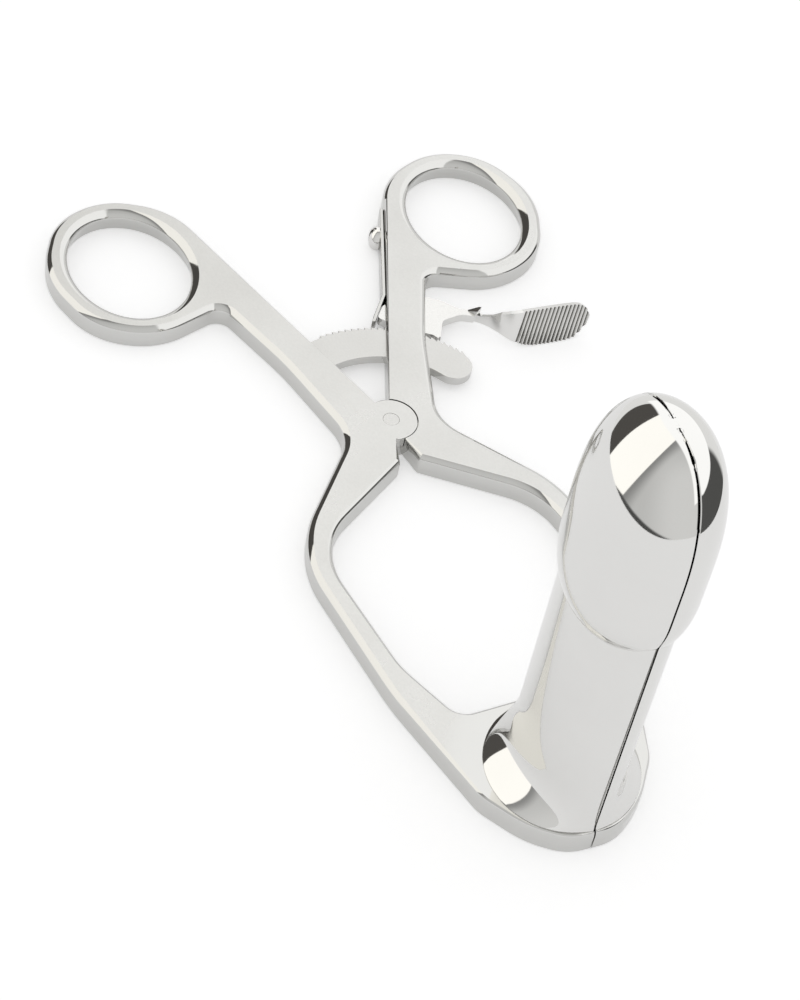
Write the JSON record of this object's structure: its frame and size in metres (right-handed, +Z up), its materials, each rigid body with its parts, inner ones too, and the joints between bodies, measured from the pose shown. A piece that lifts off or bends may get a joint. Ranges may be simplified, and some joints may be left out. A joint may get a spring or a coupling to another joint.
{
  "type": "speculum",
  "caption": "Self-retaining surgical speculum: flat levers with finger rings, an arc ratchet with a sprung release lever, and upright hollow half-blades with a rounded head.",
  "frame": {"origin": "on the axis of the pivot pin, in the plane that the closed instrument lies on", "axes": "+Z up, along the pivot and the blades; +Y from the pivot towards the finger rings; +X towards the ring that carries the release lever"},
  "size_m": [0.1098, 0.1753, 0.0962],
  "materials": {
    "lever_steel": "satin upper face, polished bevels",
    "blade_steel": "mirror polished",
    "ratchet_steel": "fine satin",
    "spring_steel": "polished strip",
    "fastener_steel": "polished"
  },
  "bodies": {
    "left_half": {"left_lever": "lever_steel", "left_blade": "blade_steel", "ratchet_bar": "ratchet_steel", "ratchet_bar_rivet": "fastener_steel", "pivot_pin": "fastener_steel"},
    "right_half": {"right_lever": "lever_steel", "right_blade": "blade_steel", "release_lever_pin": "fastener_steel", "leaf_spring": "spring_steel", "spring_screw": "fastener_steel"},
    "release_lever": {"release_lever": "ratchet_steel"}
  },
  "joints": [
    {"name": "handle_pivot", "type": "hinge", "parent": "left_half", "child": "right_half", "pos_m": [0, 0, 0], "axis": [0, 0, 1], "range_deg": [0, 30]},
    {"name": "release_lever_pivot", "type": "hinge", "parent": "right_half", "child": "release_lever", "pos_m": [0.0134, 0.0266, 0], "axis": [0, 0, 1], "range_deg": [-5.2, 8], "stiffness_Nm_per_rad": 0.05, "deforming": ["leaf_spring"]}
  ]
}
